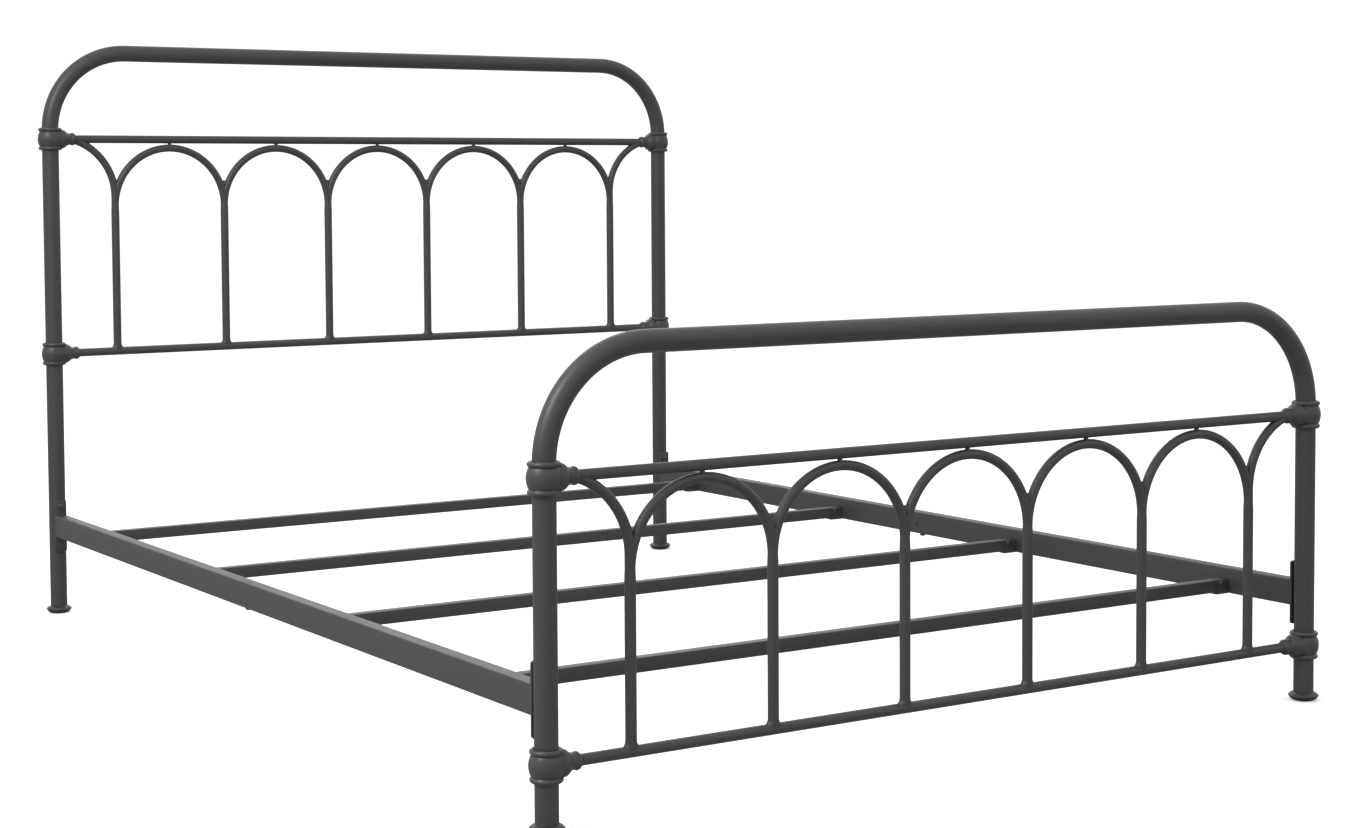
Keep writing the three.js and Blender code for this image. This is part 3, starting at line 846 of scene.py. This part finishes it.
def addAccessHole(bm, faceX, inward, y, z):
    reach = sideRail["holeRadius"] * sideRail["holePatch"]
    for plane, normal in (((0, y - reach, 0), (0, 1, 0)), ((0, y + reach, 0), (0, 1, 0)),
                          ((0, 0, z - reach), (0, 0, 1)), ((0, 0, z + reach), (0, 0, 1))):
        bmesh.ops.bisect_plane(bm, geom=bm.verts[:] + bm.edges[:] + bm.faces[:], dist=1e-7,
                               plane_co=plane, plane_no=normal)
    patch = [face for face in bm.faces
             if abs(face.normal.x) > 0.99 and abs(face.calc_center_median().x - faceX) < 1e-4
             and abs(face.calc_center_median().y - y) < reach and abs(face.calc_center_median().z - z) < reach]
    border = distinct(edge for face in patch for edge in face.edges
                      if sum(link in patch for link in edge.link_faces) == 1)
    bmesh.ops.delete(bm, geom=patch, context="FACES_ONLY")
    place = Matrix.Translation((faceX, y, z)) @ alongX
    ring = ringAt(bm, sideRail["holeRadius"], sideRail["holeSteps"], place)
    bmesh.ops.bridge_loops(bm, edges=border + ring)
    ring = [edge for edge in ring if edge.is_valid and edge.is_boundary]
    rounding = sideRail["plugDepth"] / 4
    ring = pullRing(bm, ring, (-inward * rounding, 0, 0), (1, sideRail["plugRim"], sideRail["plugRim"]))
    ring = pullRing(bm, ring, (inward * rounding - inward * sideRail["plugDepth"], 0, 0))
    ring = pullRing(bm, ring, (inward * rounding, 0, 0), (1, sideRail["plugFace"], sideRail["plugFace"]))
    closeRing(bm, ring)


def makeSideRail(sideName):
    node = f"side_rail_{sideName}"
    low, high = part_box(node)
    inward = 1 if sideName == "left" else -1
    post = centreOf(f"headboard_glide_{sideName}")
    boltPlace = centreOf(f"center_bolt_{sideName}")
    middleZ = (low.z + high.z) / 2
    faceX = post.x + inward * sideRail["width"] / 2
    half = Vector((sideRail["width"] / 2, 0, sideRail["depth"] / 2))
    inset = sideRail["plateThickness"] / 2
    bm = bmesh.new()
    boxLow = Vector((post.x, low.y + inset, middleZ)) - half
    boxHigh = Vector((post.x, high.y - inset, middleZ)) + half
    verts = boxAt(bm, boxLow, boxHigh)
    bevelEdges(bm, edgesAlong(verts, 1), sideRail["corner"], sideRail["cornerSteps"])
    addAccessHole(bm, faceX, inward, boltPlace.y, middleZ + sideRail["holeHeight"])
    addPlate(bm, post.x, low.y, middleZ, 1)
    addPlate(bm, post.x, high.y, middleZ, -1)
    for number in slatNumbers:
        slatLow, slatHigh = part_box(f"cross_slat_{number}")
        addSaddle(bm, faceX, inward, (slatLow.y + slatHigh.y) / 2, slatLow.z)
    return finishPiece(bm, pieceName(node), powderCoat, [node], 30)


# Cross slats: rectangular tube with open ends.
slatForm = {"corner": 0.0016, "cornerSteps": 4, "wall": 0.0015, "hollow": 0.03}


def makeSlat(number):
    node = f"cross_slat_{number}"
    low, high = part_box(node)
    bm = bmesh.new()
    verts = boxAt(bm, low, high)
    bevelEdges(bm, edgesAlong(verts, 0), slatForm["corner"], slatForm["cornerSteps"])
    ends = [face for face in bm.faces if abs(face.normal.x) > 0.99]
    bmesh.ops.inset_individual(bm, faces=ends, thickness=slatForm["wall"], use_even_offset=True)
    for face in ends:
        inwards = -slatForm["hollow"] if face.normal.x > 0 else slatForm["hollow"]
        made = bmesh.ops.extrude_discrete_faces(bm, faces=[face])
        floorVerts = distinct(vert for floor in made["faces"] for vert in floor.verts)
        bmesh.ops.translate(bm, verts=floorVerts, vec=(inwards, 0, 0))
    return finishPiece(bm, pieceName(node), powderCoat, [node], 30)


# Bolts: hex heads at the corners and under the rails, round heads through the saddles.
boltForm = {
    "cornerHead": 0.0064,
    "cornerHeight": 0.0048,
    "washerRadius": 0.0064,
    "washerHeight": 0.0008,
    "washerRound": 0.0003,
    "headBevel": 0.12,  # of the head's radius
    "shankEdge": 0.001,
    "shank": 0.004,
    "shankLength": 0.018,
    "centerHead": 0.0058,
    "centerHeight": 0.0052,
    "centerShank": 0.003,
    "centerLength": 0.012,
    "slatHead": 0.0042,
    "slatEdge": 0.0008,  # height of the straight edge under the round head
    "slatSink": 0.001,
    "slatDome": 0.45,  # flattening of the round head
    "slatShank": 0.0022,
    "slatRise": 0.0175,  # over the slat's underside
    "slatReach": 0.0205,  # from the rail's inner face
    "nut": 0.0046,
    "nutHeight": 0.0035,
}


# A hex head seated at the origin, pointing up +Z, with its shank below.
def addHexBolt(bm, radius, height, shankRadius, shankLength, place, washerRadius=0.0, washerHeight=0.0):
    verts = bmesh.ops.create_circle(bm, cap_ends=True, segments=6, radius=radius)["verts"]
    face = verts[0].link_faces[0]
    made = bmesh.ops.extrude_face_region(bm, geom=[face])
    top = [item for item in made["geom"] if isinstance(item, bmesh.types.BMVert)]
    bmesh.ops.translate(bm, verts=top, vec=(0, 0, height - washerHeight))
    bmesh.ops.translate(bm, verts=verts + top, vec=(0, 0, washerHeight))
    rim = distinct(edge for vert in top for edge in vert.link_edges if all(end in top for end in edge.verts))
    bevelEdges(bm, rim, radius * boltForm["headBevel"], 3)
    bmesh.ops.transform(bm, matrix=place, verts=joinedVerts(verts))
    if washerHeight:
        edge = boltForm["washerRound"]
        washer = [(0.0, 0.0), (washerRadius - edge, 0.0), (washerRadius, edge),
                  (washerRadius, washerHeight - edge), (washerRadius - edge, washerHeight), (0.0, washerHeight)]
        turnOutline(bm, washer, 32, place)
    edge = boltForm["shankEdge"]
    shank = [(0.0, 0.0), (shankRadius, 0.0), (shankRadius, -shankLength + edge),
             (shankRadius - edge, -shankLength), (0.0, -shankLength)]
    turnOutline(bm, shank, 20, place)


def makeCornerBolt(board, sideName, level):
    node = f"{board}_corner_bolt_{sideName}_{level}"
    low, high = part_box(node)
    middle = (low + high) / 2
    facing = -1 if board == "headboard" else 1
    seat = (low.y if facing < 0 else high.y) - facing * boltForm["cornerHeight"]
    turn = Matrix.Rotation(math.radians(-90 * facing), 4, "X")
    place = Matrix.Translation((middle.x, seat, middle.z)) @ turn
    bm = bmesh.new()
    addHexBolt(bm, boltForm["cornerHead"], boltForm["cornerHeight"], boltForm["shank"], boltForm["shankLength"],
               place, boltForm["washerRadius"], boltForm["washerHeight"])
    return finishPiece(bm, pieceName(node), boltZinc, [node], 30)


def makeCenterBolt(sideName):
    node = f"center_bolt_{sideName}"
    low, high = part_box(node)
    middle = (low + high) / 2
    place = Matrix.Translation((middle.x, middle.y, low.z + boltForm["centerHeight"]))
    place = place @ Matrix.Rotation(math.radians(180), 4, "X")
    bm = bmesh.new()
    addHexBolt(bm, boltForm["centerHead"], boltForm["centerHeight"], boltForm["centerShank"],
               boltForm["centerLength"], place)
    return finishPiece(bm, pieceName(node), boltZinc, [node], 30)


# A round head on the foot side of the saddle and a nut on the head side.
def makeSlatBolt(number, sideName):
    low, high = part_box(f"cross_slat_{number}")
    post = centreOf(f"headboard_glide_{sideName}")
    inward = 1 if sideName == "left" else -1
    x = post.x + inward * (sideRail["width"] / 2 + boltForm["slatReach"])
    z = low.z + boltForm["slatRise"]
    cheek = sideRail["slatGap"] + sideRail["saddlePlate"]
    bm = bmesh.new()
    headRadius, sink = boltForm["slatHead"], boltForm["slatSink"]
    head = [(0.0, -sink), (headRadius, -sink), (headRadius, boltForm["slatEdge"])]
    head += roundStretch((0.0, boltForm["slatEdge"]), headRadius, 12, 90, 7, boltForm["slatDome"])
    head[-1] = (0.0, head[-1][1])
    place = Matrix.Translation((x, low.y - cheek, z)) @ Matrix.Rotation(math.radians(90), 4, "X")
    turnOutline(bm, head, 28, place)
    place = Matrix.Translation((x, high.y + cheek, z)) @ alongY
    addHexBolt(bm, boltForm["nut"], boltForm["nutHeight"], boltForm["slatShank"], high.y - low.y + 2 * cheek, place)
    return finishPiece(bm, pieceName("slat_bolt", number, sideName), boltZinc, (), 30)


for board in boards:
    makeBowTube(board)
    for level in levels:
        makeRail(board, level)
    for number in spindleNumbers:
        makeSpindle(board, number)
    for number in archNumbers:
        makeArch(board, number)
    for sideName in sides:
        makeEndArch(board, sideName)
        makeGlide(board, sideName)
        for level in levels:
            makeCollar(board, level, sideName)
        for level in levels:
            makeCornerBolt(board, sideName, level)
    print(board, "made")

for sideName in sides:
    makeSideRail(sideName)
    makeCenterBolt(sideName)
print("side rails made")

for number in slatNumbers:
    makeSlat(number)
    for sideName in sides:
        makeSlatBolt(number, sideName)
print("cross slats made")

bpy.context.view_layer.update()
